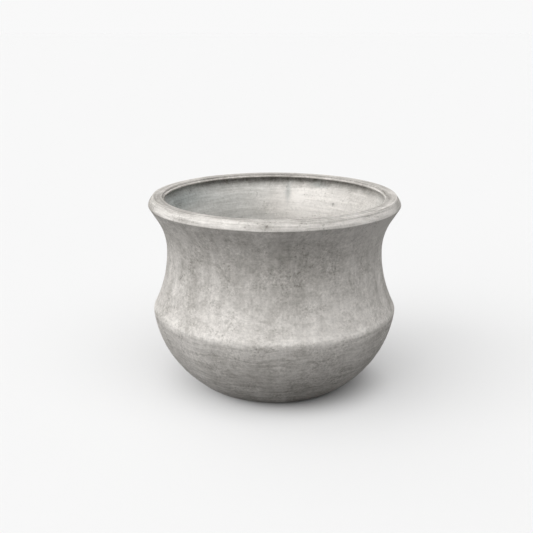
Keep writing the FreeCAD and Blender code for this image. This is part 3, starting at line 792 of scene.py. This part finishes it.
    def open_pores(self, piece, sizes):
        """Sink a few small round holes where air was caught, and one pock knocked out inside."""
        draw = random.Random(PORE_SEED)
        mesh = piece.data
        walls = [v.co.copy() for v in mesh.vertices
                 if mesh.attributes["open_wall"].data[v.index].value > 0.9]
        holes = []
        while len(holes) < sizes.pores:
            spot = draw.choice(walls)
            if all((spot - hole).length > sizes.pore_spacing for hole in holes):
                holes.append(spot)
        groups = [(*size, holes[i::len(PORE_SIZES)]) for i, size in enumerate(PORE_SIZES)]
        for radius, depth, spots in (*groups, (*POCK_SIZE, [POCK])):
            tree = KDTree(len(mesh.vertices))
            for vertex in mesh.vertices:
                tree.insert(vertex.co, vertex.index)
            tree.balance()
            bpy.ops.object.mode_set(mode="EDIT")
            bpy.ops.mesh.select_mode(type="VERT")
            bpy.ops.mesh.select_all(action="DESELECT")
            bpy.ops.object.mode_set(mode="OBJECT")
            for spot in spots:
                mesh.vertices[tree.find(spot)[1]].select = True
            bpy.ops.object.mode_set(mode="EDIT")
            bpy.ops.mesh.bevel(offset=radius, segments=2, affect="VERTICES", clamp_overlap=True)
            bpy.ops.mesh.select_mode(type="FACE")
            bpy.ops.mesh.inset(thickness=radius * PORE_SLOPE, depth=-depth)
            bpy.ops.object.mode_set(mode="OBJECT")


class PLANTER_OT_drain(bpy.types.Operator):
    """Finish the drain: the moulded sleeve, the punched strainer and the rubber plug"""
    bl_idname = "planter.drain"
    bl_label = "Drain"

    def execute(self, context):
        colours = context.scene.planter_colours
        finish_node("drain_sleeve", moulded_polypropylene(colours))
        finish_node("drain_strainer", punched_stainless(colours))
        plug_rubber = rubber("rubber_moulded", colours.plug, colours.plug_bloom, 0.0007)
        finish_node("drain_plug", plug_rubber)
        return {"FINISHED"}


class PLANTER_OT_foot_pads(bpy.types.Operator):
    """Finish the four rubber pads under the base"""
    bl_idname = "planter.foot_pads"
    bl_label = "Foot pads"

    def execute(self, context):
        colours = context.scene.planter_colours
        material = rubber("rubber_sheet_cut", colours.pads, colours.pads_bloom, 0.0011)
        for name in ("foot_pad_1", "foot_pad_2", "foot_pad_3", "foot_pad_4"):
            finish_node(name, material)
        return {"FINISHED"}


# Camera: its place, degrees up from looking straight down, millimetres of lens and sensor
CAMERA_PLACE = (-0.0157, -1.6599, 0.7218)
CAMERA_TILT = 73.65
CAMERA_LENS = 57.41
CAMERA_SENSOR = 36

# Direction to each lamp, degrees round from the camera's side and degrees up; then its level
LAMPS = (
    ("lamp_left", -60, 28, 1.17),
    ("lamp_left_high", -60, 60, 0.86),
    ("lamp_right_high", 30, 60, 0.99),
    ("lamp_back", -140, 50, 0.35),
)
# Each lamp's width as seen from the pot, in degrees, and its distance, which changes nothing
LAMP_SPREAD = 60
LAMP_DISTANCE = 3

# Level of the surround as it lights the pot, and as the camera sees it
SURROUND_LEVEL = 0.417
SURROUND_SEEN = 0.945

# The floor's width, the share of it that glows, and where that glow dies away beside the pot,
# painting the pot's contact shadow
FLOOR_WIDTH = 80
FLOOR_GLOW = 0.25
SHADE_PLACE = (0.050, -0.030, 0)
SHADE_REACH = (0.11, 0.20)


class PLANTER_OT_stage(bpy.types.Operator):
    """Set the camera, a pale floor, soft lamps and a pale surround"""
    bl_idname = "planter.stage"
    bl_label = "Stage"

    def execute(self, context):
        self.floor(context)
        self.surround(context)
        for name, round_by, up, level in LAMPS:
            self.lamp(context, name, round_by, up, level)
        data = bpy.data.cameras.new("camera")
        camera = bpy.data.objects.new("camera", data)
        context.collection.objects.link(camera)
        data.sensor_width = CAMERA_SENSOR
        data.lens = CAMERA_LENS
        camera.location = CAMERA_PLACE
        camera.rotation_euler = (math.radians(CAMERA_TILT), 0, 0)
        context.scene.camera = camera
        context.scene.view_settings.view_transform = "Standard"
        return {"FINISHED"}

    def floor(self, context):
        """Lay a wide sheet of pale paper under the pot."""
        colours = context.scene.planter_colours
        bpy.ops.object.select_all(action="DESELECT")
        bpy.ops.mesh.primitive_plane_add(size=FLOOR_WIDTH)
        floor = context.object
        floor.name = "studio_floor"
        material, tree, place = bare_material("paper_backdrop_matt")
        # The camera and mirrors see white paper; the pot gets little light back from it
        seen = seen_directly(tree)
        tint = mixed(tree, seen, colours.paper_bounce, colours.paper)
        matt = node(tree, "ShaderNodeBsdfDiffuse", {"Color": tint}).outputs[0]
        lit = node(tree, "ShaderNodeEmission", {"Color": opaque(colours.paper_glow)}).outputs[0]
        # The glow dies away beside the foot of the pot, on the side away from the lamps on the
        # left: a contact shadow painted on the floor
        off = node(tree, "ShaderNodeVectorMath", {0: place, 1: SHADE_PLACE}, operation="DISTANCE")
        open_floor = remap(tree, off.outputs["Value"], *SHADE_REACH, 0.0, FLOOR_GLOW,
                           interpolation_type="SMOOTHSTEP")
        glow = maths(tree, "MULTIPLY", seen, open_floor)
        shader = node(tree, "ShaderNodeMixShader", {0: glow, 1: matt, 2: lit})
        node(tree, "ShaderNodeOutputMaterial", {0: shader.outputs[0]})
        floor.data.materials.append(material)

    def surround(self, context):
        """Light the pot evenly from all round."""
        world = bpy.data.worlds.new("studio_surround")
        context.scene.world = world
        world.use_nodes = True
        tree = world.node_tree
        tree.nodes.clear()
        level = remap(tree, seen_directly(tree), 0.0, 1.0, SURROUND_LEVEL, SURROUND_SEEN)
        back = node(tree, "ShaderNodeBackground", {0: (1, 1, 1, 1), 1: level})
        node(tree, "ShaderNodeOutputWorld", {0: back.outputs[0]})

    def lamp(self, context, name, round_by, up, level):
        """Hang a wide, soft lamp."""
        data = bpy.data.lights.new(name, "SUN")
        data.energy = level
        data.angle = math.radians(LAMP_SPREAD)
        lamp = bpy.data.objects.new(name, data)
        context.collection.objects.link(lamp)
        turn, rise = math.radians(round_by), math.radians(up)
        aim = Vector((math.sin(turn) * math.cos(rise), -math.cos(turn) * math.cos(rise),
                      math.sin(rise)))
        lamp.location = aim * LAMP_DISTANCE
        lamp.rotation_euler = aim.to_track_quat("Z", "Y").to_euler()


class PLANTER_PT_panel(bpy.types.Panel):
    """The planter's steps and sizes"""
    bl_idname = "PLANTER_PT_panel"
    bl_label = "Planter"
    bl_space_type = "VIEW_3D"
    bl_region_type = "UI"
    bl_category = "Planter"

    def draw(self, context):
        for step in STEPS:
            self.layout.operator(step.bl_idname)
        for group in (context.scene.planter_casting, context.scene.planter_colours):
            column = self.layout.column()
            for name in group.bl_rna.properties.keys():
                if name not in ("rna_type", "name"):
                    column.prop(group, name)


STEPS = (PLANTER_OT_casting, PLANTER_OT_drain, PLANTER_OT_foot_pads, PLANTER_OT_stage)
CLASSES = (CastingSizes, FinishColours, *STEPS, PLANTER_PT_panel)


def register():
    for cls in CLASSES:
        bpy.utils.register_class(cls)
    bpy.types.Scene.planter_casting = PointerProperty(type=CastingSizes)
    bpy.types.Scene.planter_colours = PointerProperty(type=FinishColours)


def unregister():
    del bpy.types.Scene.planter_colours
    del bpy.types.Scene.planter_casting
    for cls in reversed(CLASSES):
        bpy.utils.unregister_class(cls)


def main():
    register()
    bpy.ops.planter.casting()
    bpy.ops.planter.drain()
    bpy.ops.planter.foot_pads()
    bpy.ops.planter.stage()


if __name__ == "__main__":
    main()
